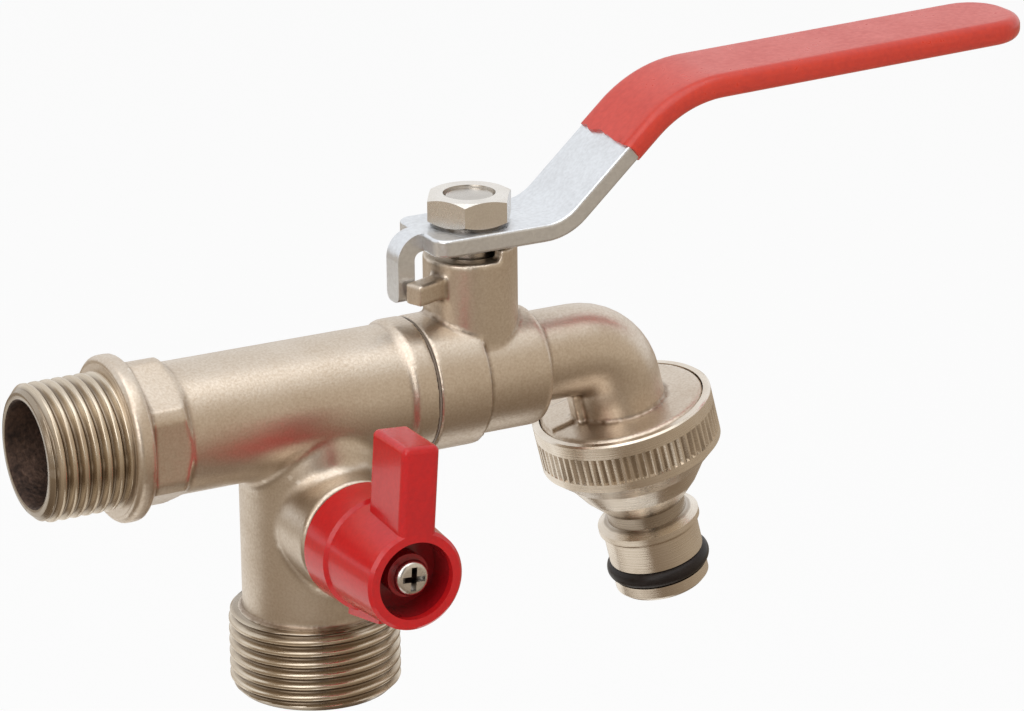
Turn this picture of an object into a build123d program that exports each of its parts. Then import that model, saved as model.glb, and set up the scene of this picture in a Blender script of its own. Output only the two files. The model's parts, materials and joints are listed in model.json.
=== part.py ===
from build123d import *
import math
import os

# Dual outlet garden tap. Millimetres, +X along the tap from the inlet to the spout, +Z up.
# The origin is the centre of the flange face that seats on the wall fitting.

# Running and seating clearances
RUNNING_GAP = 0.05
SEATING_GAP = 0.02
STOP_GAP = 0.15
END_GAP = 0.4

# Inlet thread, flange and spanner hexagon
INLET_THREAD_OD = 20.955
INLET_THREAD_LENGTH = 12.7
INLET_LEAD = 1.2
INLET_BORE = 16.0
FLANGE_OD = 25.4
FLANGE_THICKNESS = 3.1
FLANGE_EDGE = 0.6
HEX_ACROSS_FLATS = 20.6
HEX_CORNER_OD = 22.8
HEX_LENGTH = 6.6
HEX_END_BEVEL = 0.9

# Main tube and the collar that meets the spout forging
TUBE_OD = 20.15
BRANCH_TO_COLLAR = 2.55
COLLAR_LENGTH = 3.4
COLLAR_BEVEL = 0.8
SPIGOT_OD = 17.8
JOINT_FACE = 1.8
JOINT_RING_THICKNESS = 0.3
JOINT_RING_INSET = 0.15

# Branch outlet that drops from the main tube
BRANCH_X = 33.5
BRANCH_OD = 22.1
BRANCH_THREAD_OD = 26.441
BRANCH_THREAD_LENGTH = 12.85
BRANCH_DROP = 45.6
BRANCH_LEAD = 1.2
BRANCH_BORE = 19.0
BRANCH_SHOULDER_Z = -9.0
BRANCH_SHOULDER_OD = 16.0
BRANCH_SADDLE_FILLET = 2.0

# Small valve in the branch, worked by the red knob
BRANCH_VALVE_DROP = 16.85
BRANCH_BALL_OD = 14.4
BRANCH_BALL_BORE = 8.6
RETAINER_OD = 17.0
RETAINER_LENGTH = 4.6
BOSS_OD = 18.2
BOSS_REACH = 15.6
BOSS_BEVEL = 0.5
BOSS_FILLET = 2.4
BRANCH_STEM_OD = 7.0
BRANCH_SHOULDER_WIDTH = 9.6

# Main ball valve
VALVE_SETBACK = 10.7
BALL_OD = 14.8
BALL_BORE = 9.0
BALL_ROOM = 0.5
SEAT_LIP = 1.1
SEAT_BACK = 1.2
SEAT_BORE_ROOM = 0.2
OUTLET_WALL = 2.8
STEM_OD = 8.0
STEM_SHOULDER_OD = 10.8
SHOULDER_THICKNESS = 1.6
THRUST_WASHER_THICKNESS = 0.8
TANG_THICKNESS = 3.0
TANG_DEPTH = 2.4
O_RING_SECTION = 1.3
O_RING_PITCH = 3.6
O_RING_RISE = 3.0

# Spout forging
HUB_STEP_BACK = 1.45
HUB_STEP_LENGTH = 0.5
BARREL_OD = 19.0
BARREL_EDGE = 1.3
TOWER_OD = 14.6
TOWER_TOP = 19.75
RIM_RISE = 1.75
RIM_WALL = 2.0
RIM_SWEEP = 150.0
SPOUT_OD = 14.4
SPOUT_BORE = 10.0
SPOUT_LIFT = 0.8
SPOUT_REACH = 14.1
ELBOW_RADIUS = 7.5
OUTLET_TILT = 14.0
OUTLET_DROP = 10.4
OUTLET_THREAD_OD = 26.441
OUTLET_BOSS_LENGTH = 6.2
OUTLET_LEAD = 0.6
GUSSET_WIDTH = 2.6
GUSSET_REACH = 8.4
GUSSET_HEIGHT = 5.4
PAD_WIDTH = 7.5
PAD_RISE = 0.5

# Stops for the lever on the side of the tower
STOP_LUG_WIDTH = 3.3
STOP_LUG_REACH = 13.0
STOP_LUG_TOP = 17.5
STOP_LUG_HEIGHT = 3.3

# Lever, grip, washer and nut
LEVER_GAP = 1.95
LEVER_THICKNESS = 2.8
LEVER_WIDTH = 15.0
LEVER_REAR = 9.1
LEVER_CORNER = 2.5
LEVER_EDGE = 0.45
LEVER_BEND_X = 12.9
LEVER_RISE = 18.65
LEVER_RISE_ANGLE = 42.0
LEVER_ARM_ANGLE = 1.7
LEVER_END_X = 97.95
LEVER_LOW_RADIUS = 9.0
LEVER_HIGH_RADIUS = 20.0
LEVER_END_ROUND = 6.4
STEM_FLATS = 5.8
TONGUE_WIDTH = 4.0
TONGUE_REACH = 10.5
TONGUE_BEND = 1.3
TONGUE_BOTTOM = 13.8
TONGUE_CORNER = 1.4
GRIP_WALL = 0.55
GRIP_START = 15.8
GRIP_EDGE = 1.7
UPRIGHT_EDGE = 0.9
LEVER_WASHER_OD = 11.4
LEVER_WASHER_THICKNESS = 0.45
NUT_ACROSS_FLATS = 12.2
NUT_HEIGHT = 4.2
NUT_TURN = -3.0
STEM_END_DROP = 0.4

# Red knob
KNOB_LEAN = 4.0
KNOB_GAP = 1.2
KNOB_DEPTH = 18.5
KNOB_BACK_OD = 18.7
KNOB_STEP_OD = 17.2
KNOB_STEP_DEPTH = 5.9
KNOB_FRONT_OD = 15.5
KNOB_WALL = 1.5
KNOB_HUB_OD = 11.0
KNOB_RECESS_OD = 12.0
KNOB_RECESS_DEPTH = 6.0
KNOB_POST_OD = 6.6
KNOB_POST_HEIGHT = 3.2
KNOB_EDGE = 0.5
WING_HEIGHT = 20.6
WING_THICKNESS = 6.0
WING_DEPTH = 10.8
WING_EDGE = 1.0
TAIL_SETBACK = 3.0
TAIL_DROP = 10.1
TAIL_END_SETBACK = 5.6
TAIL_END_DROP = 8.3
KNOB_FLATS = 5.0
SCREW_HEAD_OD = 5.6
SCREW_HEAD_HEIGHT = 2.0
SCREW_OD = 3.0
SCREW_LENGTH = 8.0
SCREW_CROSS = 0.9
SCREW_CROSS_SPAN = 3.7
SCREW_CROSS_DEPTH = 1.1

# Hose adaptor on the spout
ADAPTOR_RIM_DROP = 0.3
ADAPTOR_RING_OD = 28.9
ADAPTOR_RING_LENGTH = 8.1
ADAPTOR_BAND = 2.3
ADAPTOR_RIM_BEVEL = 0.3
KNURL_COUNT = 72
KNURL_DEPTH = 0.45
KNURL_SHARE = 0.8
KNURL_LENGTH = 4.5
ADAPTOR_WASHER_THICKNESS = 1.8
CONE_SHOULDER_OD = 23.0
CONE_SHOULDER_DROP = 2.9
CONE_STEP_OD = 18.6
CONE_STEP_DROP = 6.3
NIPPLE_WAIST_OD = 12.8
NIPPLE_WAIST_DROP = 9.6
NIPPLE_WAIST_LENGTH = 2.0
NIPPLE_RIDGE_OD = 16.4
NIPPLE_RIDGE_LENGTH = 2.5
NIPPLE_BODY_OD = 15.2
NIPPLE_BODY_LENGTH = 4.75
NIPPLE_RING_SECTION = 2.8
NIPPLE_RING_BITE = 2.1
NIPPLE_TIP_LENGTH = 2.4
NIPPLE_TIP_BEVEL = 0.6
NIPPLE_BORE = 9.8

UPRIGHT = (Align.CENTER, Align.CENTER, Align.MIN)

# Places worked out from the sizes above
collar_r = SPIGOT_OD / 2 + JOINT_FACE
collar_start = BRANCH_X + BRANCH_OD / 2 + BRANCH_TO_COLLAR
collar_end = collar_start + COLLAR_LENGTH
seam_x = collar_end + JOINT_RING_THICKNESS / 2
valve_x = seam_x + VALVE_SETBACK
ball_r = BALL_OD / 2
cavity_r = ball_r + BALL_ROOM
seat_r = cavity_r - RUNNING_GAP
seat_bore_r = BALL_BORE / 2 + SEAT_BORE_ROOM / 2
seat_near = math.sqrt(ball_r**2 - (seat_r - SEAT_LIP) ** 2)
seat_far = math.sqrt(ball_r**2 - seat_bore_r**2) + SEAT_BACK
barrel_end_x = valve_x + seat_far + OUTLET_WALL
elbow_x = barrel_end_x + SPOUT_REACH
outlet_axis = Vector(math.sin(math.radians(OUTLET_TILT)), 0, -math.cos(math.radians(OUTLET_TILT)))
outlet_top = Vector(elbow_x, 0, SPOUT_LIFT) + outlet_axis * OUTLET_DROP
OUTLET = Pos(outlet_top) * Rot(0, 180 - OUTLET_TILT, 0)

shoulder_z = cavity_r + RUNNING_GAP
washer_z = shoulder_z + SHOULDER_THICKNESS
pocket_z = washer_z + THRUST_WASHER_THICKNESS + RUNNING_GAP
stem_bore_r = STEM_OD / 2 + RUNNING_GAP
lever_z = TOWER_TOP + LEVER_GAP
lever_top = lever_z + LEVER_THICKNESS
nut_z = lever_top + LEVER_WASHER_THICKNESS
nut_top = nut_z + NUT_HEIGHT

branch_ball_r = BRANCH_BALL_OD / 2
branch_cavity_r = branch_ball_r + BALL_ROOM
branch_seat_r = branch_cavity_r - RUNNING_GAP
branch_seat_bore_r = BRANCH_BALL_BORE / 2 + SEAT_BORE_ROOM / 2
branch_seat_near = math.sqrt(branch_ball_r**2 - (branch_seat_r - SEAT_LIP) ** 2)
branch_seat_far = math.sqrt(branch_ball_r**2 - branch_seat_bore_r**2) + SEAT_BACK
knob_z = -BRANCH_VALVE_DROP
knob_back = BOSS_REACH + KNOB_GAP
knob_front = knob_back + KNOB_DEPTH
recess_floor = knob_front - KNOB_RECESS_DEPTH
screw_seat = recess_floor + KNOB_POST_HEIGHT
branch_shoulder = branch_cavity_r + RUNNING_GAP
branch_washer = branch_shoulder + SHOULDER_THICKNESS
branch_pocket = branch_washer + THRUST_WASHER_THICKNESS + RUNNING_GAP
branch_bore_r = BRANCH_STEM_OD / 2 + RUNNING_GAP

MAIN_VALVE = Pos(valve_x, 0, 0)
ALONG_X = Rot(0, 90, 0)
BRANCH_DOWN = Pos(BRANCH_X, 0, 0) * Rot(180, 0, 0)
BRANCH_VALVE = Pos(BRANCH_X, 0, knob_z)
KNOB = BRANCH_VALVE * Rot(0, KNOB_LEAN, 0) * Rot(90, 0, 0)


def turned(points):
    """Solid of revolution about Z from an outline of (radius, height) points."""
    return revolve(Plane.XZ * make_face(Polyline(*points, close=True)), Axis.Z)


def drum(radius, low, high):
    """Plain cylinder on Z between two heights."""
    return Pos(0, 0, low) * Cylinder(radius, high - low, align=UPRIGHT)


def tube(outer, inner, low, high):
    """Plain ring on Z between two heights."""
    return drum(outer, low, high) - drum(inner, low, high)


def o_ring(centre_r, section, height):
    """Round section ring about Z."""
    return Pos(0, 0, height) * Torus(centre_r, section / 2)


def seat(outer, bore, near, far, sphere):
    """Soft ring on Z, dished where the ball bears on it."""
    return tube(outer, bore, near, far) - Sphere(sphere + RUNNING_GAP)


def valve_ball(radius, bore, tang):
    """Ball on a stem along Z, with its waterway along X and a slot for the stem's tang."""
    slot_floor = radius - TANG_DEPTH - END_GAP
    slot = Pos(0, 0, slot_floor) * Box(tang + 2 * RUNNING_GAP, 2 * radius, radius, align=UPRIGHT)
    return Sphere(radius) - ALONG_X * drum(bore, -radius, radius) - slot


def stem_grooves(radius, heights, section):
    """Rings to take out of a stem of this radius for its seals."""
    width = section + 2 * RUNNING_GAP
    low = [height - width / 2 for height in heights]
    return [tube(radius + section, radius - section, height, height + width) for height in low]


def flats(radius, across, low, high):
    """Round bar on Z with two flats facing X."""
    return drum(radius, low, high) & Pos(0, 0, low) * Box(across, 4 * radius, high - low, align=UPRIGHT)


def blended(first, second, radius):
    """Two solids joined, with a fillet where their faces meet."""
    both = first + second
    return fillet(new_edges(first, second, combined=both), radius)


def tee_body():
    """Inlet, main tube and branch outlet, forged in one piece."""
    thread_r = INLET_THREAD_OD / 2
    flange_r = FLANGE_OD / 2
    hex_end = FLANGE_THICKNESS + HEX_LENGTH
    tube_r = TUBE_OD / 2
    spigot_end = valve_x - seat_far
    barrel = turned([
        (0, -INLET_THREAD_LENGTH),
        (thread_r - INLET_LEAD, -INLET_THREAD_LENGTH),
        (thread_r, INLET_LEAD - INLET_THREAD_LENGTH),
        (thread_r, 0),
        (flange_r - FLANGE_EDGE, 0),
        (flange_r, FLANGE_EDGE),
        (flange_r, FLANGE_THICKNESS - FLANGE_EDGE),
        (flange_r - FLANGE_EDGE, FLANGE_THICKNESS),
        (tube_r, FLANGE_THICKNESS),
        (tube_r, collar_start - COLLAR_BEVEL),
        (collar_r, collar_start),
        (collar_r, collar_end),
        (SPIGOT_OD / 2, collar_end),
        (SPIGOT_OD / 2, spigot_end),
        (0, spigot_end),
    ])
    corner_r = HEX_CORNER_OD / 2
    corners = turned([
        (0, FLANGE_THICKNESS),
        (corner_r, FLANGE_THICKNESS),
        (corner_r, hex_end - HEX_END_BEVEL),
        (tube_r, hex_end),
        (0, hex_end),
    ])
    hexagon = extrude(RegularPolygon(HEX_ACROSS_FLATS / 2, 6, major_radius=False, rotation=30), hex_end)
    body = blended(ALONG_X * drum(tube_r, FLANGE_THICKNESS, collar_end), BRANCH_DOWN * branch_outside(),
                   BRANCH_SADDLE_FILLET)
    boss_r = BOSS_OD / 2
    boss = turned([
        (0, 0),
        (boss_r, 0),
        (boss_r, BOSS_REACH - BOSS_BEVEL),
        (boss_r - BOSS_BEVEL, BOSS_REACH),
        (0, BOSS_REACH),
    ])
    body = blended(body, BRANCH_VALVE * Rot(90, 0, 0) * boss, BOSS_FILLET)
    body = body + ALONG_X * (barrel + (corners & Rot(0, 0, 90) * hexagon))
    waterway = ALONG_X * drum(INLET_BORE / 2, -INLET_THREAD_LENGTH, collar_start)
    outlet_way = ALONG_X * drum(seat_bore_r, 0, spigot_end)
    pocket_r = BRANCH_SHOULDER_WIDTH / 2 + RUNNING_GAP
    stem_way = KNOB * (drum(branch_bore_r, 0, BOSS_REACH) + drum(pocket_r, 0, branch_pocket))
    return body - waterway - outlet_way - BRANCH_DOWN * branch_inside() - stem_way


def branch_outside():
    """Outside of the branch, upside down on Z: domed shoulder, tube and threaded end."""
    top_r = BRANCH_SHOULDER_OD / 2
    side_r = BRANCH_OD / 2
    thread_r = BRANCH_THREAD_OD / 2
    side_start = -BRANCH_SHOULDER_Z
    thread_start = BRANCH_DROP - BRANCH_THREAD_LENGTH
    step = side_r - top_r
    dome = (step**2 + side_start**2) / (2 * step)
    half = math.asin(side_start / dome) / 2
    middle = (side_r - dome + dome * math.cos(half), side_start - dome * math.sin(half))
    edges = [
        Line((0, 0), (top_r, 0)),
        ThreePointArc((top_r, 0), middle, (side_r, side_start)),
        Polyline(
            (side_r, side_start),
            (side_r, thread_start),
            (thread_r - BRANCH_LEAD / 2, thread_start),
            (thread_r, thread_start + BRANCH_LEAD / 2),
            (thread_r, BRANCH_DROP - BRANCH_LEAD),
            (thread_r - BRANCH_LEAD, BRANCH_DROP),
            (0, BRANCH_DROP),
            (0, 0),
        ),
    ]
    return revolve(Plane.XZ * make_face(edges), Axis.Z)


def branch_inside():
    """Waterway of the branch, upside down on Z: valve chamber, thread for the retainer, outlet."""
    seat_top = BRANCH_VALVE_DROP - branch_seat_far
    seat_bottom = BRANCH_VALVE_DROP + branch_seat_far
    retainer_end = seat_bottom + RETAINER_LENGTH
    return turned([
        (0, 0),
        (branch_seat_bore_r, 0),
        (branch_seat_bore_r, seat_top),
        (branch_cavity_r, seat_top),
        (branch_cavity_r, seat_bottom),
        (RETAINER_OD / 2 + RUNNING_GAP, seat_bottom),
        (RETAINER_OD / 2 + RUNNING_GAP, retainer_end),
        (BRANCH_BORE / 2, retainer_end),
        (BRANCH_BORE / 2, BRANCH_DROP),
        (0, BRANCH_DROP),
    ])


def along_spout(radius):
    """Round bar of one radius from inside the barrel, round the elbow and down to the outlet boss."""
    corner = Vector(elbow_x, 0, SPOUT_LIFT)
    path = FilletPolyline((valve_x, 0, SPOUT_LIFT), corner, outlet_top, radius=ELBOW_RADIUS)
    return sweep(Plane(origin=path @ 0, z_dir=path % 0) * Circle(radius), path=path)


def bib_body():
    """Valve chamber, stem tower, spout and threaded outlet, forged in one piece."""
    hub_start = seam_x + JOINT_RING_THICKNESS / 2
    step_x = valve_x - HUB_STEP_BACK
    barrel_r = BARREL_OD / 2
    barrel = ALONG_X * turned([
        (0, hub_start),
        (collar_r, hub_start),
        (collar_r, step_x - HUB_STEP_LENGTH),
        (barrel_r, step_x),
        (barrel_r, barrel_end_x),
        (0, barrel_end_x),
    ])
    barrel = fillet(barrel.edges().group_by(Axis.X)[-1], BARREL_EDGE)
    thread_r = OUTLET_THREAD_OD / 2
    outlet_boss = OUTLET * turned([
        (0, 0),
        (thread_r - OUTLET_LEAD, 0),
        (thread_r, OUTLET_LEAD),
        (thread_r, OUTLET_BOSS_LENGTH - OUTLET_LEAD),
        (thread_r - OUTLET_LEAD, OUTLET_BOSS_LENGTH),
        (0, OUTLET_BOSS_LENGTH),
    ])
    tower = MAIN_VALVE * drum(TOWER_OD / 2, 0, TOWER_TOP)
    gusset = Box(GUSSET_REACH, GUSSET_WIDTH, GUSSET_HEIGHT, align=(Align.MIN, Align.CENTER, Align.MAX))
    pad = Box(thread_r, PAD_WIDTH, PAD_RISE, align=(Align.MIN, Align.MIN, Align.MAX))
    pad = pad & drum(thread_r - OUTLET_LEAD, -PAD_RISE, 0)
    body = barrel + along_spout(SPOUT_OD / 2) + outlet_boss + tower + OUTLET * (gusset + pad)
    for angle in (open_stop_angle(), closed_stop_angle()):
        body = body + MAIN_VALVE * Rot(0, 0, angle) * stop_lug()
    body = body + MAIN_VALVE * raised_rim()
    chamber = ALONG_X * (
        drum(SPIGOT_OD / 2 + RUNNING_GAP, hub_start, valve_x - seat_far)
        + drum(cavity_r, hub_start, valve_x + seat_far)
    )
    pocket = MAIN_VALVE * drum(STEM_SHOULDER_OD / 2 + RUNNING_GAP, 0, pocket_z)
    stem_way = MAIN_VALVE * drum(stem_bore_r, 0, TOWER_TOP + RIM_RISE)
    outlet_way = OUTLET * drum(SPOUT_BORE / 2, -SEATING_GAP, OUTLET_BOSS_LENGTH)
    return body - chamber - pocket - stem_way - along_spout(SPOUT_BORE / 2) - outlet_way


def tongue_corner_radius():
    """Distance from the stem's axis to the inner corner of the lever's tongue."""
    return math.hypot(TONGUE_REACH, TONGUE_WIDTH / 2 + STOP_GAP)


def stop_lug_offset():
    """Angle between the lever's centre line and the middle of a stop lug that it meets."""
    corner = math.atan2(TONGUE_WIDTH / 2 + STOP_GAP, TONGUE_REACH)
    return math.degrees(corner + math.asin(STOP_LUG_WIDTH / 2 / tongue_corner_radius()))


def open_stop_angle():
    """Where the lug stands that stops the open lever."""
    return 180 + stop_lug_offset()


def closed_stop_angle():
    """Where the lug stands that stops the lever a quarter turn on."""
    return 90 - stop_lug_offset()


def stop_lug():
    """Block on the side of the tower, on the X axis."""
    size = Box(STOP_LUG_REACH, STOP_LUG_WIDTH, STOP_LUG_HEIGHT, align=(Align.MIN, Align.CENTER, Align.MAX))
    return Pos(0, 0, STOP_LUG_TOP) * size


def raised_rim():
    """Part of the tower's rim that stands up to guide the lever."""
    outer = TOWER_OD / 2
    ring = tube(outer, outer - RIM_WALL, TOWER_TOP - SEATING_GAP, TOWER_TOP + RIM_RISE)
    half = math.radians(RIM_SWEEP / 2)
    edge = 2 * outer
    wedge = Polyline((0, 0), (edge * math.cos(half), -edge * math.sin(half)), (edge, -edge), (edge, edge),
                     (edge * math.cos(half), edge * math.sin(half)), close=True)
    return ring & extrude(make_face(wedge), lever_top)


def joint_ring():
    """Sealing ring between the two forgings."""
    inner = SPIGOT_OD / 2 + RUNNING_GAP
    return ALONG_X * tube(collar_r - JOINT_RING_INSET, inner, collar_end, collar_end + JOINT_RING_THICKNESS)


def stem(stem_r, shoulder_r, ball_top, seat_side, low, high, rings):
    """Valve stem on Z: tang that turns clear of the seats, shoulder held from inside, grooved bar."""
    tang = flats(seat_side - RUNNING_GAP, TANG_THICKNESS, ball_top - TANG_DEPTH, low)
    body = drum(shoulder_r, low, low + SHOULDER_THICKNESS) + drum(stem_r, low, high)
    for groove in stem_grooves(stem_r, rings, O_RING_SECTION):
        body = body - groove
    return tang + body


def main_ring_heights():
    """Heights of the two seals on the main stem."""
    low = pocket_z + O_RING_RISE
    return [low, low + O_RING_PITCH]


def main_stem():
    """Main stem with flats under the lever and a threaded end for the nut."""
    end = nut_top - STEM_END_DROP
    thread = chamfer(drum(STEM_OD / 2, lever_top, end).edges().sort_by(Axis.Z)[-1], END_GAP)
    shoulder_r = STEM_SHOULDER_OD / 2
    bar = stem(STEM_OD / 2, shoulder_r, ball_r, seat_near, shoulder_z, lever_z, main_ring_heights())
    return MAIN_VALVE * (bar + Rot(0, 0, 90) * flats(STEM_OD / 2, STEM_FLATS, lever_z, lever_top) + thread)


def lever_path():
    """Middle line of the lever's strip, from the rear of its hub to the end of its arm."""
    middle = lever_z + LEVER_THICKNESS / 2
    rise = math.radians(LEVER_RISE_ANGLE)
    arm = math.radians(LEVER_ARM_ANGLE)
    high_x = LEVER_BEND_X + LEVER_RISE / math.tan(rise)
    high_z = middle + LEVER_RISE
    end_z = high_z + (LEVER_END_X - high_x) * math.tan(arm)
    return [(-LEVER_REAR, 0, middle), (LEVER_BEND_X, 0, middle), (high_x, 0, high_z), (LEVER_END_X, 0, end_z)]


def bent_strip(points, width, thickness):
    """Flat strip swept along the lever's bends."""
    path = FilletPolyline(*points, radius=[LEVER_LOW_RADIUS, LEVER_HIGH_RADIUS][-(len(points) - 2):])
    section = Plane(origin=path @ 0, x_dir=(0, 1, 0), z_dir=path % 0) * Rectangle(width, thickness)
    return sweep(section, path=path)


def rounded_end(strip, radius):
    """Strip with the two corners of its far end rounded."""
    return fillet(strip.edges().sort_by(Axis.X)[-4:].filter_by(Axis.Y, reverse=True), radius)


def broad_edges(strip):
    """Edges round a strip's broad faces, without those that stand through its thickness."""
    return strip.edges().filter_by(lambda edge: abs((edge % 0.5).Z) < UPRIGHT_EDGE)


def lever_blank():
    """Lever's bent strip with its rounded ends and edges, before the tongue and the stem hole."""
    strip = rounded_end(bent_strip(lever_path(), LEVER_WIDTH, LEVER_THICKNESS), LEVER_END_ROUND)
    strip = fillet(strip.edges().filter_by(Axis.Z).group_by(Axis.X)[0], LEVER_CORNER)
    return fillet(broad_edges(strip), LEVER_EDGE)


def lever():
    """Pressed steel lever: hub with a bent down tongue, riser and arm."""
    middle = lever_z + LEVER_THICKNESS / 2
    tongue_x = -(TONGUE_REACH + LEVER_THICKNESS / 2)
    path = FilletPolyline((0, 0, middle), (tongue_x, 0, middle), (tongue_x, 0, TONGUE_BOTTOM),
                          radius=TONGUE_BEND + LEVER_THICKNESS / 2)
    section = Rectangle(TONGUE_WIDTH, LEVER_THICKNESS)
    tongue = sweep(Plane(origin=path @ 0, x_dir=(0, 1, 0), z_dir=path % 0) * section, path=path)
    tongue = fillet(tongue.edges().filter_by(Axis.X).group_by(Axis.Z)[0], TONGUE_CORNER)
    hole = Rot(0, 0, 90) * flats(stem_bore_r, STEM_FLATS + 2 * RUNNING_GAP, lever_z, lever_top)
    return MAIN_VALVE * (lever_blank() + tongue - hole)


def lever_grip():
    """Dipped plastic sleeve over the lever's arm."""
    rear, low, high, end = [Vector(*point) for point in lever_path()]
    start = low + (high - low).normalized() * GRIP_START
    tip = end + (end - high).normalized() * GRIP_WALL
    outer = bent_strip([start, high, tip], LEVER_WIDTH + 2 * GRIP_WALL, LEVER_THICKNESS + 2 * GRIP_WALL)
    outer = rounded_end(outer, LEVER_END_ROUND + GRIP_WALL)
    mouth = outer.faces().sort_by(Axis.X)[0]
    outer = fillet(broad_edges(outer) - mouth.edges(), GRIP_EDGE)
    return MAIN_VALVE * (outer - lever_blank())


def lever_washer():
    """Plain washer under the nut."""
    return MAIN_VALVE * tube(LEVER_WASHER_OD / 2, stem_bore_r, lever_top, nut_z)


def lever_nut():
    """Hexagon nut with both ends bevelled to a circle."""
    flat_r = NUT_ACROSS_FLATS / 2
    corner_r = flat_r / math.cos(math.radians(30))
    drop = (corner_r - flat_r) * math.tan(math.radians(30))
    hexagon = extrude(RegularPolygon(flat_r, 6, major_radius=False), NUT_HEIGHT)
    bevel = turned([
        (0, 0),
        (flat_r, 0),
        (corner_r, drop),
        (corner_r, NUT_HEIGHT - drop),
        (flat_r, NUT_HEIGHT),
        (0, NUT_HEIGHT),
    ])
    body = (hexagon & bevel) - drum(stem_bore_r, 0, NUT_HEIGHT)
    return MAIN_VALVE * Pos(0, 0, nut_z) * Rot(0, 0, NUT_TURN) * body


def branch_stem():
    """Stem of the small valve, with flats for the knob and a tapped hole for its screw."""
    bar_r = BRANCH_STEM_OD / 2
    shoulder_r = BRANCH_SHOULDER_WIDTH / 2
    rings = [branch_pocket + O_RING_SECTION]
    bar = stem(bar_r, shoulder_r, branch_ball_r, branch_seat_near, branch_shoulder, knob_back, rings)
    drive = flats(bar_r, KNOB_FLATS, knob_back, recess_floor - RUNNING_GAP)
    hole = drum(SCREW_OD / 2 + SEATING_GAP, screw_seat - SCREW_LENGTH - END_GAP, recess_floor)
    return KNOB * (Rot(0, 0, 90) * bar + drive - hole)


def branch_knob():
    """Moulded knob: two stepped skirts, hub, front recess round a screw post, upright wing and low tail."""
    back_r = KNOB_BACK_OD / 2
    step_r = KNOB_STEP_OD / 2
    front_r = KNOB_FRONT_OD / 2
    step = knob_back + KNOB_STEP_DEPTH
    outside = turned([
        (0, knob_back),
        (back_r, knob_back),
        (step_r + KNOB_EDGE, step),
        (step_r, step + KNOB_EDGE),
        (front_r, knob_front - KNOB_EDGE),
        (front_r - KNOB_EDGE, knob_front),
        (0, knob_front),
    ])
    wing_size = (WING_THICKNESS, WING_HEIGHT, WING_DEPTH)
    wing = Pos(0, 0, knob_front) * Box(*wing_size, align=(Align.CENTER, Align.MIN, Align.MAX))
    wing = fillet(wing.edges().filter_by(Axis.Y), WING_EDGE)
    wing = fillet(wing.edges().group_by(Axis.Y)[-1], WING_EDGE)
    tail_start = knob_back + TAIL_SETBACK
    tail_end = knob_front - TAIL_END_SETBACK
    side = Polyline((0, tail_start), (-TAIL_DROP, tail_start), (-TAIL_END_DROP, tail_end), (0, tail_end),
                    close=True)
    tail = extrude(Plane.YZ * make_face(side), WING_THICKNESS / 2, both=True)
    hollow = tube(step_r - KNOB_WALL, KNOB_HUB_OD / 2, knob_back, step)
    post = drum(KNOB_POST_OD / 2, recess_floor, screw_seat)
    recess = drum(KNOB_RECESS_OD / 2, recess_floor, knob_front) - post
    drive = flats(branch_bore_r, KNOB_FLATS + 2 * RUNNING_GAP, knob_back, recess_floor)
    screw_hole = drum(SCREW_OD / 2 + RUNNING_GAP, knob_back, knob_front)
    return KNOB * (outside + wing + tail - hollow - recess - drive - screw_hole)


def branch_knob_screw():
    """Cross head screw on the post inside the knob's recess."""
    head_top = screw_seat + SCREW_HEAD_HEIGHT
    head = drum(SCREW_HEAD_OD / 2, screw_seat, head_top)
    head = fillet(head.edges().sort_by(Axis.Z)[-1], SCREW_HEAD_HEIGHT / 2)
    shank = drum(SCREW_OD / 2, screw_seat - SCREW_LENGTH, screw_seat)
    arm = Box(SCREW_CROSS_SPAN, SCREW_CROSS, SCREW_CROSS_DEPTH, align=(Align.CENTER, Align.CENTER, Align.MAX))
    cross = Pos(0, 0, head_top) * (arm + Rot(0, 0, 90) * arm)
    return KNOB * (head + shank - cross)


def adaptor_floor():
    """Depth below the spout's disc where the adaptor's sealing washer sits."""
    return OUTLET_BOSS_LENGTH + ADAPTOR_WASHER_THICKNESS


def nipple_ring_depth():
    """Depth below the spout's disc of the middle of the nipple's seal."""
    waist = ADAPTOR_RIM_DROP + ADAPTOR_RING_LENGTH + NIPPLE_WAIST_DROP + NIPPLE_WAIST_LENGTH
    return waist + NIPPLE_RIDGE_LENGTH + NIPPLE_BODY_LENGTH + NIPPLE_RING_SECTION / 2 + RUNNING_GAP


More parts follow.
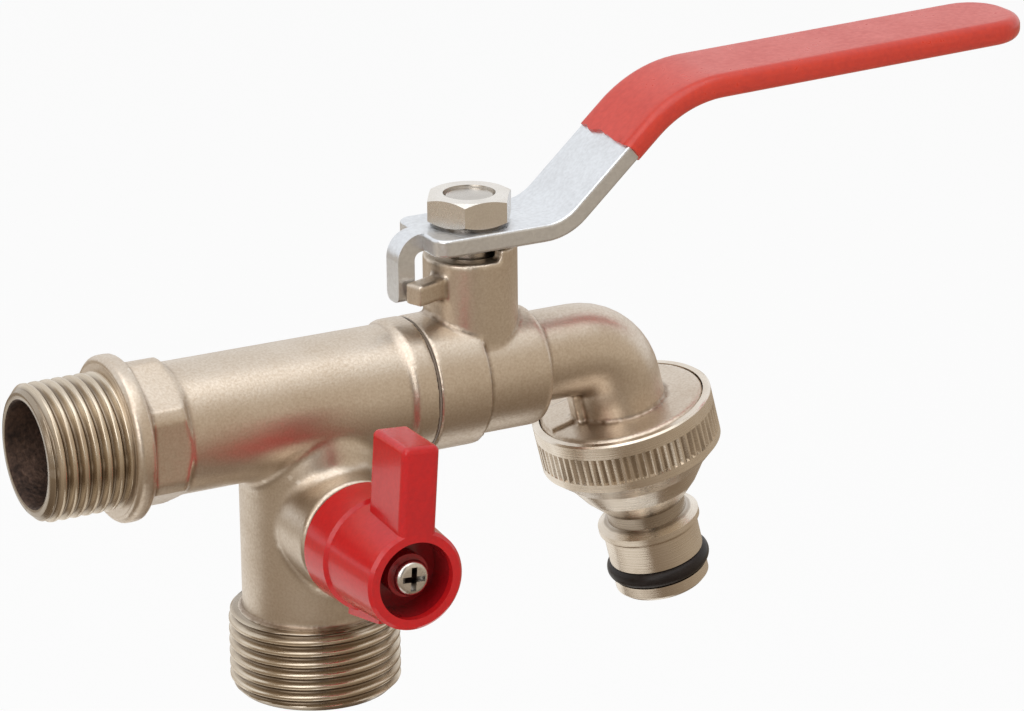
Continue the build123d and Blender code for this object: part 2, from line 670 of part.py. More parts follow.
def hose_adaptor():
    """Knurled ring that screws on the spout and a quick connect nipple, turned in one piece."""
    rim = ADAPTOR_RIM_DROP
    ring_end = rim + ADAPTOR_RING_LENGTH
    ring_r = ADAPTOR_RING_OD / 2
    cone_r = CONE_STEP_OD / 2
    waist_r = NIPPLE_WAIST_OD / 2
    ridge_r = NIPPLE_RIDGE_OD / 2
    body_r = NIPPLE_BODY_OD / 2
    waist = ring_end + NIPPLE_WAIST_DROP
    ridge = waist + NIPPLE_WAIST_LENGTH
    body = ridge + NIPPLE_RIDGE_LENGTH
    groove = body + NIPPLE_BODY_LENGTH
    groove_r = body_r - NIPPLE_RING_BITE
    tip = groove + NIPPLE_RING_SECTION + 2 * RUNNING_GAP
    end = tip + NIPPLE_TIP_LENGTH
    thread_r = OUTLET_THREAD_OD / 2 + RUNNING_GAP
    bore_r = NIPPLE_BORE / 2
    floor = adaptor_floor()
    solid = turned([
        (thread_r, rim),
        (ring_r - ADAPTOR_RIM_BEVEL, rim),
        (ring_r, rim + ADAPTOR_RIM_BEVEL),
        (ring_r, ring_end),
        (CONE_SHOULDER_OD / 2, ring_end + CONE_SHOULDER_DROP),
        (cone_r, ring_end + CONE_STEP_DROP),
        (waist_r, waist),
        (waist_r, ridge),
        (ridge_r, ridge + (ridge_r - waist_r) / 2),
        (ridge_r, body - (ridge_r - body_r)),
        (body_r, body),
        (body_r, groove),
        (groove_r, groove),
        (groove_r, tip),
        (body_r, tip),
        (body_r, end - NIPPLE_TIP_BEVEL),
        (body_r - NIPPLE_TIP_BEVEL, end),
        (bore_r, end),
        (bore_r, floor),
        (thread_r, floor),
    ])
    return OUTLET * (solid - knurl(ring_r, rim + ADAPTOR_BAND))


def knurl(radius, start):
    """Straight grooves round the ring, all as one cutter."""
    outer = radius + RUNNING_GAP
    half = math.pi * radius / KNURL_COUNT * KNURL_SHARE
    groove = Polyline((radius - KNURL_DEPTH, 0), (outer, -half), (outer, half), close=True)
    ring = [Rot(0, 0, 360 * turn / KNURL_COUNT) * make_face(groove) for turn in range(KNURL_COUNT)]
    return Pos(0, 0, start) * extrude(Sketch() + ring, KNURL_LENGTH)


def nodes():
    """Every piece of the tap by name."""
    lower, upper = main_ring_heights()
    seal_r = STEM_OD / 2 - O_RING_SECTION / 2
    main_seat = (seat_r, seat_bore_r, seat_near, seat_far, ball_r)
    branch_seat = (branch_seat_r, branch_seat_bore_r, branch_seat_near, branch_seat_far, branch_ball_r)
    branch_seal_r = BRANCH_STEM_OD / 2 - O_RING_SECTION / 2
    branch_seal = branch_pocket + O_RING_SECTION
    shoulder_r = STEM_SHOULDER_OD / 2
    branch_shoulder_r = BRANCH_SHOULDER_WIDTH / 2
    nipple_seal_r = NIPPLE_BODY_OD / 2 - NIPPLE_RING_BITE + NIPPLE_RING_SECTION / 2 + RUNNING_GAP
    washer_r = OUTLET_THREAD_OD / 2 - OUTLET_LEAD
    washer = tube(washer_r, NIPPLE_BORE / 2, OUTLET_BOSS_LENGTH, adaptor_floor())
    retainer_top = branch_seat_far
    retainer = tube(RETAINER_OD / 2, branch_seat_bore_r, retainer_top, retainer_top + RETAINER_LENGTH)
    turned_over = BRANCH_VALVE * Rot(180, 0, 0)
    washer_end = pocket_z - RUNNING_GAP
    branch_washer_end = branch_pocket - RUNNING_GAP
    branch_thrust_washer = tube(branch_shoulder_r, branch_bore_r, branch_washer, branch_washer_end)
    return {
        "tee_body": tee_body(),
        "bib_body": bib_body(),
        "joint_ring": joint_ring(),
        "main_ball": MAIN_VALVE * valve_ball(ball_r, BALL_BORE / 2, TANG_THICKNESS),
        "main_seat_inlet": MAIN_VALVE * Rot(0, -90, 0) * seat(*main_seat),
        "main_seat_outlet": MAIN_VALVE * ALONG_X * seat(*main_seat),
        "main_stem": main_stem(),
        "main_stem_thrust_washer": MAIN_VALVE * tube(shoulder_r, stem_bore_r, washer_z, washer_end),
        "main_stem_o_ring_lower": MAIN_VALVE * o_ring(seal_r, O_RING_SECTION - RUNNING_GAP, lower),
        "main_stem_o_ring_upper": MAIN_VALVE * o_ring(seal_r, O_RING_SECTION - RUNNING_GAP, upper),
        "lever": lever(),
        "lever_grip": lever_grip(),
        "lever_washer": lever_washer(),
        "lever_nut": lever_nut(),
        "branch_ball": KNOB * Rot(0, 0, 90) * valve_ball(branch_ball_r, BRANCH_BALL_BORE / 2, TANG_THICKNESS),
        "branch_seat_upper": BRANCH_VALVE * seat(*branch_seat),
        "branch_seat_lower": turned_over * seat(*branch_seat),
        "branch_seat_retainer": turned_over * retainer,
        "branch_stem": branch_stem(),
        "branch_stem_thrust_washer": KNOB * branch_thrust_washer,
        "branch_stem_o_ring": KNOB * o_ring(branch_seal_r, O_RING_SECTION - RUNNING_GAP, branch_seal),
        "branch_knob": branch_knob(),
        "branch_knob_screw": branch_knob_screw(),
        "hose_adaptor": hose_adaptor(),
        "hose_adaptor_washer": OUTLET * washer,
        "hose_adaptor_o_ring": OUTLET * o_ring(nipple_seal_r, NIPPLE_RING_SECTION, nipple_ring_depth()),
    }


os.makedirs("parts", exist_ok=True)
for name, solid in nodes().items():
    export_step(solid, f"parts/{name}.step")
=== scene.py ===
import json
import math

import bmesh
import bpy
import numpy as np
from bpy.props import FloatProperty, FloatVectorProperty, IntProperty, PointerProperty
from mathutils import Matrix, Vector, noise

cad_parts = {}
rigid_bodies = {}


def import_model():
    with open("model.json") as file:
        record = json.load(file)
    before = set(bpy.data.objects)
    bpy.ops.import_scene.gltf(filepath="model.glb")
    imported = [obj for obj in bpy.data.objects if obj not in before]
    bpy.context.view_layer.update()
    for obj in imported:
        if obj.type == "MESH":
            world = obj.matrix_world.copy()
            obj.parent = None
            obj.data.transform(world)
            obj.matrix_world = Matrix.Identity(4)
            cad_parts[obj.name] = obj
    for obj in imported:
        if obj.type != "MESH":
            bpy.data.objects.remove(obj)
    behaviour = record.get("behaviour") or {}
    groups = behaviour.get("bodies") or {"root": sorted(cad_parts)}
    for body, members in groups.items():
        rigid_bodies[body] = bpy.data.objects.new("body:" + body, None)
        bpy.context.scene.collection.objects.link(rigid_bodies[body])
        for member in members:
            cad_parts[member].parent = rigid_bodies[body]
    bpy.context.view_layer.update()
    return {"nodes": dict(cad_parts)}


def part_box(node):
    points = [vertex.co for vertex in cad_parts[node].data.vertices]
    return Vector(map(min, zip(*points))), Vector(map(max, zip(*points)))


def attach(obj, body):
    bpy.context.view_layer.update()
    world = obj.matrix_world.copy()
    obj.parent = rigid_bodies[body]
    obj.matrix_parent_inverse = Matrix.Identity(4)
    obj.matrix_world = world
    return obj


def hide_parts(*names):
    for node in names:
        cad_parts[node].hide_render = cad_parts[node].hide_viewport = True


bl_info = {
    "name": "Dual outlet garden tap",
    "version": (1, 0, 0),
    "blender": (4, 5, 0),
    "location": "3D View > Sidebar > Tap",
    "description": "Dresses a dual outlet garden tap with forged, turned, plated and dipped finishes",
    "category": "Object",
}

for leftover in list(bpy.data.objects):
    bpy.data.objects.remove(leftover)

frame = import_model()

FLOW = Vector((1.0, 0.0, 0.0))
ACROSS = Vector((0.0, 1.0, 0.0))
UP = Vector((0.0, 0.0, 1.0))
# Turns rings about Z into rings about the flow
ALONG_FLOW = Matrix(((0, 0, 1, 0), (1, 0, 0, 0), (0, 1, 0, 0), (0, 0, 0, 1)))

# Fineness of the meshes
INLET_SEGMENTS = 128
BRANCH_SEGMENTS = 160
KNOB_SEGMENTS = 64
THREAD_STEPS = 24
GRIP_CUTS_ALONG = 4
GRIP_CUTS_ACROSS = 12
PANEL_STEPS = 12
# Bands of faces along a bore and round its mouth
MOUTH_BANDS = 2

# Distances in metres within which points count as one, and as lying on a plane
WELD = 1e-6
PLANE_SLACK = 1e-7

# Angles beyond which an edge looks sharp
CREASE = math.radians(50.0)
GRIP_CREASE = math.radians(40.0)

# Shares of half a pitch that the crest and the flank of a thread take
CREST_SHARE = 0.16
FLANK_SHARE = 0.78
# Share of a thread's depth below which painted shade starts to show
ROOT_SHADE_START = 0.3

# Waves in the edge of the dipped grip, in turns of noise per metre
WAVES_ACROSS = 420.0
WAVES_UP = 90.0
WAVE_SEED = 3.0

# Sockets of the mix node: its factor and two colours, and its result
MIX_INPUTS = (0, 6, 7)
MIX_RESULT = 2

WHITE = (1.0, 1.0, 1.0, 1.0)
SENSOR_WIDTH = 36.0

# Panels that only shiny faces see: name, azimuths and elevations in degrees, colour
STUDIO_PANELS = (
    ("side_panel", (-100.0, -60.0), (-2.0, 50.0), (0.44, 0.36, 0.27)),
    ("left_panel", (-59.0, -28.0), (0.0, 66.0), (1.10, 1.07, 1.02)),
    ("gap_panel", (-26.0, -10.0), (-12.0, 62.0), (0.05, 0.04, 0.035)),
    ("high_panel", (-9.0, 75.0), (45.0, 70.0), (0.82, 0.80, 0.76)),
    ("right_panel", (-9.0, 75.0), (-6.0, 44.0), (0.68, 0.59, 0.48)),
)


def length(label, text, default):
    """A size in metres that a user may change."""
    return FloatProperty(name=label, description=text, default=default, unit="LENGTH", precision=6)


def colour(label, text, default):
    """A colour that a user may change."""
    return FloatVectorProperty(
        name=label, description=text, default=default, size=3, min=0.0, max=1.0, subtype="COLOR"
    )


def angle(label, text, degrees):
    """An angle, given in degrees, that a user may change."""
    return FloatProperty(name=label, description=text, default=math.radians(degrees), subtype="ANGLE")


def spot(label, text, default):
    """A place or a flat size in metres that a user may change."""
    return FloatVectorProperty(
        name=label, description=text, default=default, size=len(default), unit="LENGTH"
    )


def power(label, text, default):
    """A lamp's power in watts that a user may change."""
    return FloatProperty(name=label, description=text, default=default, subtype="POWER")


class TapSizes(bpy.types.PropertyGroup):
    """Sizes of the forms that the solids leave plain."""

    thread_pitch: length("Thread pitch", "Rise of the pipe threads in one turn", 0.001814)
    thread_depth: length("Thread depth", "Crest to root of the pipe threads", 0.00078)
    inlet_radius: length("Inlet radius", "Crest radius of the inlet thread", 0.0104775)
    inlet_bore: length("Inlet bore", "Radius of the waterway at the inlet", 0.008)
    inlet_lead: length("Inlet lead", "Bevel at the open end of the inlet", 0.0012)
    inlet_edge: length("Inlet edge", "Bevel round the mouth of the inlet's waterway", 0.0003)
    overlap: length("Overlap", "How far a turned end reaches into the forging", 0.0003)
    flange_cut: length("Flange cut", "Where the turned inlet goes into the flange", -0.00004)
    facing: length("Facing", "Half the thickness of the turned facing on the flange", 0.00006)
    facing_radius: length("Facing radius", "Outer radius of that facing", 0.01155)
    branch_x: length("Branch place", "Distance of the branch from the flange", 0.0335)
    branch_radius: length("Branch radius", "Crest radius of the branch thread", 0.0132205)
    branch_tube: length("Branch tube", "Radius of the branch above its thread", 0.01100)
    branch_bore: length("Branch bore", "Radius of the waterway in the branch", 0.0095)
    branch_lead: length("Branch lead", "Bevel at the open end of the branch", 0.0012)
    branch_edge: length("Branch edge", "Bevel round the mouth of the branch's waterway", 0.0004)
    branch_ledge: length("Branch ledge", "Height of the ledge above the branch thread", -0.03275)
    ledge_bevel: length("Ledge bevel", "Bevel along the ledge above the branch thread", 0.0006)
    ledge_seam: length("Ledge seam", "Height above the ledge where the forged skin ends", 0.00003)
    knob_height: length("Knob height", "Height of the knob's axis", -0.01685)
    knob_recess: length("Knob recess", "Depth of the recess in the knob's front", 0.006)
    # The dark skin is a lining of painted shade in the knob's recess.
    knob_floor: length("Knob skin", "Thickness of the dark skin in the recess", 0.00004)
    knob_post: length("Knob post", "Radius of the post under the screw", 0.0033)
    knob_post_depth: length("Knob post depth", "How far the post's top is behind the knob's front", 0.0028)
    knob_hole: length("Knob hole", "Radius of the recess in the knob's front", 0.006)
    knob_lip: length("Knob lip", "Where the dark skin ends behind the knob's front", 0.0012)
    screw_head: length("Screw head", "Radius of the screw's head", 0.0027)
    skin_voxel: length("Skin voxel", "Grain of the mesh that the forgings are eased on", 0.00036)
    skin_passes: IntProperty(name="Skin passes", description="How far forged edges are eased", default=4)
    dip_wander: length("Dip wander", "How far the edge of the dipped grip wanders", 0.0009)
    dip_reach: length("Dip reach", "How far into the grip that wandering is felt", 0.004)
    dip_slope: angle("Dip slope", "Slope of the lever where the grip starts", 42.0)
    outlet_tilt: angle("Outlet tilt", "Lean of the hose adaptor's axis", 14.0)


class TapColours(bpy.types.PropertyGroup):
    """Colours of the finishes."""

    nickel: colour("Nickel", "Pale blasted nickel of the forgings", (0.70, 0.625, 0.54))
    # Rubbed nickel lights the forgings' edges, partly as rubbing and partly as a painted highlight; nickel
    # hollow is painted shade in their corners.
    nickel_rubbed_lit: colour("Rubbed nickel", "Bright edges of the forgings", (0.78, 0.71, 0.63))
    nickel_hollow_shade: colour("Nickel hollow", "Stain in the corners of the forgings", (0.22, 0.15, 0.10))
    nickel_shade: colour("Nickel shade", "Brown cast in the hollows of the forgings", (0.46, 0.36, 0.26))
    turned: colour("Turned nickel", "Cut and plated faces", (0.82, 0.76, 0.68))
    turned_shade: colour("Turned shade", "Brown lines between cutting marks", (0.48, 0.38, 0.27))
    thread: colour("Thread", "Browner plating of the threads", (0.70, 0.62, 0.51))
    thread_shade: colour("Thread shade", "Brown stain on the threads", (0.33, 0.24, 0.15))
    # Turned hollow is painted shade at the roots of threads and knurls.
    turned_root_shade: colour("Turned hollow", "Dirt at the roots of threads and knurls", (0.10, 0.065, 0.04))
    # The raw bore colours are dull raw brass darkened with painted shade, as the waterways are unlit.
    raw: colour("Raw bore", "Dull brown wall of the waterways", (0.11, 0.062, 0.042))
    raw_shade: colour("Raw bore shade", "Darkest part of the waterways", (0.018, 0.010, 0.008))
    zinc: colour("Zinc", "Bluish plating of the lever", (0.80, 0.83, 0.87))
    zinc_shade: colour("Zinc shade", "Greyer plating of the lever", (0.55, 0.56, 0.58))
    steel: colour("Steel", "Bright small steel pieces", (0.78, 0.76, 0.73))
    steel_shade: colour("Steel shade", "Dull small steel pieces", (0.45, 0.42, 0.40))
    nut: colour("Nut", "Satin plating of the lever's nut", (0.82, 0.79, 0.75))
    nut_shade: colour("Nut shade", "Duller plating of the nut", (0.58, 0.54, 0.48))
    # The washer's dark steel is darkened further with painted shade under the nut.
    shaded_washer: colour("Spring steel", "Oiled washer under the nut", (0.20, 0.18, 0.16))
    spring_shade: colour("Spring steel shade", "Darker part of the washer", (0.08, 0.07, 0.06))
    grip: colour("Grip", "Red dipped grip", (0.70, 0.045, 0.020))
    grip_shade: colour("Grip shade", "Deeper red of the grip", (0.42, 0.012, 0.010))
    knob: colour("Knob", "Red moulded knob", (0.64, 0.014, 0.016))
    # Knob shade is also the lighter tone of the painted shade lining the recess; knob recess is the darkest
    # painted shade, deep in it.
    knob_shade: colour("Knob shade", "Deeper red of the knob", (0.36, 0.008, 0.012))
    knob_deep_shade: colour("Knob recess", "Darkest red, deep in the knob", (0.10, 0.003, 0.004))
    rubber: colour("Rubber", "Black seals", (0.010, 0.006, 0.005))
    rubber_shade: colour("Rubber dust", "Worn grey on the seals", (0.022, 0.015, 0.013))
    seat: colour("Seat", "White soft seats", (0.80, 0.80, 0.78))
    seat_shade: colour("Seat shade", "Rubbed part of the seats", (0.62, 0.61, 0.58))
    brass: colour("Stem", "Plated brass of the stems", (0.60, 0.57, 0.53))
    brass_shade: colour("Stem shade", "Dull part of the stems", (0.34, 0.31, 0.28))
    fibre: colour("Fibre", "Ring in the seam between the forgings", (0.26, 0.20, 0.15))
    fibre_shade: colour("Fibre shade", "Darker part of that ring", (0.12, 0.09, 0.07))


class TapStage(bpy.types.PropertyGroup):
    """Floor, lamps and camera."""

    floor_drop: length("Floor drop", "Height of the floor", -0.16)
    floor_size: length("Floor size", "Side of the floor", 12.0)
    floor_paint: colour("Floor paint", "Colour of the floor", (0.92, 0.92, 0.92))
    floor_glow: FloatProperty(name="Floor glow", description="Glow where the floor is seen", default=0.9)
    azimuth: angle("Azimuth", "Camera turn", -28.033)
    elevation: angle("Elevation", "Camera rise", 18.950)
    roll: angle("Roll", "Camera roll", -0.550)
    distance: length("Distance", "Camera to the middle of the tap", 0.676892)
    aim_x: length("Aim", "Middle of the tap along the flow", 0.0473)
    slide_right: length("Slide right", "Camera slide along its own right", 0.018651)
    slide_up: length("Slide up", "Camera slide along its own up", 0.004946)
    lens: FloatProperty(name="Lens", description="Millimetres on a 36 mm frame", default=155.334)
    table_drop: length("Table drop", "Height of the brown table in reflections", -0.10)
    table_size: length("Table size", "Side of that table", 3.0)
    # Table near is a painted shadow of the tap on the table seen in reflections, out to shade near and back
    # to pale at shade far.
    table_painted_shadow: colour("Table near", "Table under the tap, in reflections", (0.19, 0.135, 0.09))
    table_far: colour("Table far", "Table round the tap, in reflections", (0.47, 0.39, 0.30))
    shade_near: length("Shade near", "How far the dark part of the table goes", 0.04)
    shade_far: length("Shade far", "Where the table is pale again", 0.30)
    panel_reach: length("Panel reach", "Distance of the studio panels", 1.2)
    panel_x: length("Panel middle", "Middle of the panels' round along the flow", 0.047)
    white_card: colour("White card", "Cards behind the tap and under the adaptor", (1.0, 0.97, 0.92))
    dull_card: colour("Dull card", "Card under the branch", (0.84, 0.78, 0.70))
    bounce_place: spot("Bounce place", "Middle of the white card behind the tap", (-0.015, 0.19, -0.099))
    bounce_size: spot("Bounce size", "Width and depth of that card", (0.28, 0.24))
    under_place: spot("Under place", "Middle of the dull card under the branch", (0.003, -0.01, -0.099))
    under_size: spot("Under size", "Width and depth of that card", (0.066, 0.16))
    cone_place: spot("Cone place", "Middle of the white card under the adaptor", (0.098, 0.012, -0.099))
    cone_size: spot("Cone size", "Width and depth of that card", (0.05, 0.06))
    top_place: spot("Top lamp place", "Middle of the wide lamp overhead", (-0.10, -0.25, 0.95))
    top_aim: spot("Top lamp aim", "Where the lamp overhead points", (0.06, 0.0, 0.0))
    top_size: length("Top lamp size", "Side of the lamp overhead", 1.1)
    top_power: power("Top lamp", "Power of the wide lamp overhead", 4.0)
    left_place: spot("Left lamp place", "Middle of the lamp on the left", (-0.85, -0.55, 0.45))
    left_aim: spot("Left lamp aim", "Where the lamp on the left points", (0.04, 0.0, 0.0))
    left_size: length("Left lamp size", "Side of the lamp on the left", 0.7)
    left_power: power("Left lamp", "Power of the lamp on the left", 2.5)
    ambient: FloatProperty(name="Ambient", description="Soft light from all round", default=0.55)


def fill(tree, socket, value):
    """Links a socket to another one, or sets its value."""
    if isinstance(value, bpy.types.NodeSocket):
        tree.links.new(value, socket)
    else:
        socket.default_value = value


def put(tree, kind, sockets=None, **attributes):
    """A node with its attributes set and its inputs linked or filled."""
    node = tree.nodes.new(kind)
    for label, value in attributes.items():
        setattr(node, label, value)
    for label, value in (sockets or {}).items():
        fill(tree, node.inputs[label], value)
    return node


def new_group(name, inputs, outputs):
    """An empty node group with named sockets."""
    tree = bpy.data.node_groups.new(name, "ShaderNodeTree")
    for label, kind, default in inputs:
        tree.interface.new_socket(label, in_out="INPUT", socket_type=kind).default_value = default
    for label, kind in outputs:
        tree.interface.new_socket(label, in_out="OUTPUT", socket_type=kind)
    return tree, put(tree, "NodeGroupInput").outputs, put(tree, "NodeGroupOutput").inputs


def mixed(tree, factor, first, second):
    """Colour between two others."""
    node = put(tree, "ShaderNodeMix", data_type="RGBA", clamp_factor=True)
    for index, value in zip(MIX_INPUTS, (factor, first, second)):
        fill(tree, node.inputs[index], value)
    return node.outputs[MIX_RESULT]


def ranged(tree, value, low, high, to_low=0.0, to_high=1.0):
    """Value taken from one range to another."""
    sockets = {"Value": value, "From Min": low, "From Max": high, "To Min": to_low, "To Max": to_high}
    return put(tree, "ShaderNodeMapRange", sockets, clamp=True).outputs[0]


def combined(tree, operation, first, second):
    """Two values put together."""
    return put(tree, "ShaderNodeMath", {0: first, 1: second}, operation=operation).outputs[0]


def vector(tree, operation, *values):
    """Outputs of vector maths on one or two values."""
    return put(tree, "ShaderNodeVectorMath", dict(enumerate(values)), operation=operation).outputs


def noise_on(tree, place, scale, detail):
    """Noise over the surface."""
    return put(tree, "ShaderNodeTexNoise", {"Vector": place, "Scale": scale, "Detail": detail}).outputs["Fac"]


def weighted(tree, first, second, share):
    """Two values added, with the given share of the second."""
    first = combined(tree, "MULTIPLY", first, 1.0 - share)
    second = combined(tree, "MULTIPLY", second, share)
    return combined(tree, "ADD", first, second)


SURFACE_INPUTS = [
    ("Colour", "NodeSocketColor", (0.8, 0.8, 0.8, 1.0)),
    ("Shade", "NodeSocketColor", (0.4, 0.4, 0.4, 1.0)),
    ("Grain", "NodeSocketFloat", 2000.0),
    ("Patch", "NodeSocketFloat", 120.0),
    ("Shade amount", "NodeSocketFloat", 0.5),
    ("Rough low", "NodeSocketFloat", 0.3),
    ("Rough high", "NodeSocketFloat", 0.5),
]
SURFACE_OUTPUTS = [
    ("Colour", "NodeSocketColor"),
    ("Roughness", "NodeSocketFloat"),
    ("Height", "NodeSocketFloat"),
]


def give_surface(tree, given, out, blend, height):
    """Colour, roughness and height of a surface, from a blend of its fine and broad marks."""
    factor = combined(tree, "MULTIPLY", blend, given["Shade amount"])
    tree.links.new(mixed(tree, factor, given["Colour"], given["Shade"]), out["Colour"])
    rough = ranged(tree, blend, 0.0, 1.0, given["Rough low"], given["Rough high"])
    tree.links.new(rough, out["Roughness"])
    tree.links.new(height, out["Height"])


def grain_group():
    """Fine grain over broad patches, for blasted, cast, rubbed and moulded faces."""
    tree, given, out = new_group("surface_grain", SURFACE_INPUTS, SURFACE_OUTPUTS)
    place = put(tree, "ShaderNodeTexCoord").outputs["Object"]
    fine = noise_on(tree, place, given["Grain"], detail=3.0)
    broad = noise_on(tree, place, given["Patch"], detail=4.0)
    speck = ranged(tree, fine, low=0.30, high=0.70)
    cloud = ranged(tree, broad, low=0.35, high=0.68)
    give_surface(tree, given, out, weighted(tree, speck, cloud, share=0.4), fine)


def turned_group():
    """Rings left by a cutting tool about an axis, over faint patches."""
    inputs = SURFACE_INPUTS + [("Axis", "NodeSocketVector", (1.0, 0.0, 0.0))]
    tree, given, out = new_group("turned_rings", inputs, SURFACE_OUTPUTS)
    place = put(tree, "ShaderNodeTexCoord").outputs["Object"]
    along = vector(tree, "DOT_PRODUCT", place, given["Axis"])["Value"]
    sockets = {"W": along, "Scale": given["Grain"], "Detail": 2.0}
    rings = put(tree, "ShaderNodeTexNoise", sockets, noise_dimensions="1D").outputs["Fac"]
    broad = noise_on(tree, place, given["Patch"], detail=5.0)
    line = ranged(tree, rings, low=0.30, high=0.70)
    cloud = ranged(tree, broad, low=0.35, high=0.70)
    give_surface(tree, given, out, weighted(tree, line, cloud, share=0.65), rings)


def rub_and_shade_group():
    """Rubbed edges made brighter, partly a painted highlight, and painted shade in the hollows, from how far
    the surface bends.
    """
    inputs = [
        ("Colour", "NodeSocketColor", (0.5, 0.5, 0.5, 1.0)),
        ("Rubbed", "NodeSocketColor", (0.9, 0.9, 0.9, 1.0)),
        ("Hollow", "NodeSocketColor", (0.1, 0.1, 0.1, 1.0)),
        ("Amount", "NodeSocketFloat", 1.0),
    ]
    tree, given, out = new_group("edge_rub_and_shade", inputs, [("Colour", "NodeSocketColor")])
    bend = put(tree, "ShaderNodeNewGeometry").outputs["Pointiness"]
    edge = combined(tree, "MULTIPLY", ranged(tree, bend, low=0.535, high=0.61), given["Amount"])
    hollow = combined(tree, "MULTIPLY", ranged(tree, bend, low=0.495, high=0.468), given["Amount"])
    rubbed = mixed(tree, edge, given["Colour"], given["Rubbed"])
    tree.links.new(mixed(tree, hollow, rubbed, given["Hollow"]), out["Colour"])


def root_shade_group():
    """Painted shade in grooves cut round an axis, deepest at their roots."""
    inputs = [
        ("Colour", "NodeSocketColor", (0.5, 0.5, 0.5, 1.0)),
        ("Painted shade", "NodeSocketColor", (0.1, 0.1, 0.1, 1.0)),
        ("Axis", "NodeSocketVector", (1.0, 0.0, 0.0)),
        ("Centre", "NodeSocketVector", (0.0, 0.0, 0.0)),
        ("Crest", "NodeSocketFloat", 0.010),
        ("Root", "NodeSocketFloat", 0.009),
        ("Amount", "NodeSocketFloat", 1.0),
    ]
    tree, given, out = new_group("groove_root_shade", inputs, [("Colour", "NodeSocketColor")])
    place = put(tree, "ShaderNodeTexCoord").outputs["Object"]
    offset = vector(tree, "SUBTRACT", place, given["Centre"])["Vector"]
    across = vector(tree, "CROSS_PRODUCT", offset, given["Axis"])["Vector"]
    radius = vector(tree, "LENGTH", across)["Value"]
    depth = ranged(tree, radius, given["Crest"], given["Root"])
    share = combined(tree, "MULTIPLY", depth, given["Amount"])
    tree.links.new(mixed(tree, share, given["Colour"], given["Painted shade"]), out["Colour"])


def blank_material(name):
    """A material with nothing in it yet, and its tree."""
    material = bpy.data.materials.new(name)
    material.use_nodes = True
    material.node_tree.nodes.clear()
    return material, material.node_tree


def show(tree, shader):
    """Makes a shader what the material shows."""
    put(tree, "ShaderNodeOutputMaterial", {"Surface": shader.outputs[0]})


def place_group(tree, group, sockets):
    """Outputs of a shared group, placed in a material with its own values."""
    return put(tree, "ShaderNodeGroup", sockets, node_tree=bpy.data.node_groups[group]).outputs


def marks(grain, patch, shade, smooth, rough):
    """Scales of the fine and broad marks, how far they shade the colour, and the range of roughness."""
    return {"Grain": grain, "Patch": patch, "Shade amount": shade, "Rough low": smooth, "Rough high": rough}


def surface(
    name,
    tones,
    values,
    bump,
    depth,
    metallic=0.0,
    coat=0.0,
    specular=0.5,
    group="surface_grain",
    rub_and_shade=None,
    groove=None,
):
    """Material from the shared groups. Rub and shade is the rubbed edges' colour, partly a painted highlight,
    the colour of the painted shade in the hollows, and the amount.
    """
    tree = blank_material(name)[1]
    light, shade = tones
    skin = place_group(tree, group, {"Colour": (*light, 1.0), "Shade": (*shade, 1.0), **values})
    tone = skin["Colour"]
    if rub_and_shade:
        rubbed, hollow, amount = rub_and_shade
        sockets = {"Colour": tone, "Rubbed": (*rubbed, 1.0), "Hollow": (*hollow, 1.0), "Amount": amount}
        tone = place_group(tree, "edge_rub_and_shade", sockets)["Colour"]
    if groove:
        tone = place_group(tree, "groove_root_shade", {"Colour": tone, **groove})["Colour"]
    relief = put(tree, "ShaderNodeBump", {"Strength": bump, "Distance": depth, "Height": skin["Height"]})
    shader = put(tree, "ShaderNodeBsdfPrincipled", {
        "Base Color": tone,
        "Roughness": skin["Roughness"],
        "Normal": relief.outputs[0],
        "Metallic": metallic,
        "Coat Weight": coat,
        "Specular IOR Level": specular,
    })
    show(tree, shader)


def add_piece(name, mesh, materials, body):
    """An object with its materials that rides on a body."""
    mesh.materials.clear()
    for material in materials:
        mesh.materials.append(bpy.data.materials[material])
    piece = bpy.data.objects.new(name, mesh)
    bpy.context.scene.collection.objects.link(piece)
    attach(piece, body)
    return piece


def ring_piece(name, rows, segments, place, materials, body):
    """A piece made of rings about Z, given as (height, radius or radii) and moved by a matrix."""
    turn = np.linspace(0.0, 2.0 * math.pi, segments, endpoint=False)
    rings = []
    for height, radius in rows:
        radii = np.broadcast_to(radius, segments)
        heights = np.full(segments, height)
        rings.append(np.stack([radii * np.cos(turn), radii * np.sin(turn), heights], axis=1))
    points = np.concatenate(rings) @ np.array(place.to_3x3()).T + np.array(place.translation)
    first = np.arange(segments)
    after = (first + 1) % segments
    faces = []
    for row in range(len(rows) - 1):
        low = row * segments
        high = low + segments
        faces.append(np.stack([low + first, low + after, high + after, high + first], axis=1))
    mesh = bpy.data.meshes.new(name)
    mesh.from_pydata(points.tolist(), [], np.concatenate(faces).tolist())
    mesh.shade_smooth()
    mesh.set_sharp_from_angle(angle=CREASE)
    return add_piece(name, mesh, materials, body)


def mouth_rows(inside, end, bore, edge):
    """Rows of a bore from inside the forging out to its bevelled mouth."""
    return [(inside, bore), (end + edge, bore), (end, bore + edge)]


def thread_rows(low, high, radius, low_lead, high_lead, segments):
    """Rows of a right hand thread about Z between two heights, with a bevel at each end."""
    sizes = bpy.context.scene.tap_sizes
    heights = np.append(np.arange(low, high, sizes.thread_pitch / THREAD_STEPS), high)
    turn = np.linspace(0.0, 2.0 * math.pi, segments, endpoint=False)
    rows = []
    for height in heights:
        phase = height / sizes.thread_pitch - turn / (2.0 * math.pi)
        from_crest = 2.0 * np.abs(phase - np.floor(phase) - 0.5)
        flank = np.clip((from_crest - CREST_SHARE) / FLANK_SHARE, 0.0, 1.0)
        radii = radius - sizes.thread_depth * flank * flank * (3.0 - 2.0 * flank)
        limit = radius - max(low_lead - (height - low), high_lead - (high - height), 0.0)
        rows.append((height, np.minimum(radii, limit)))
    return rows


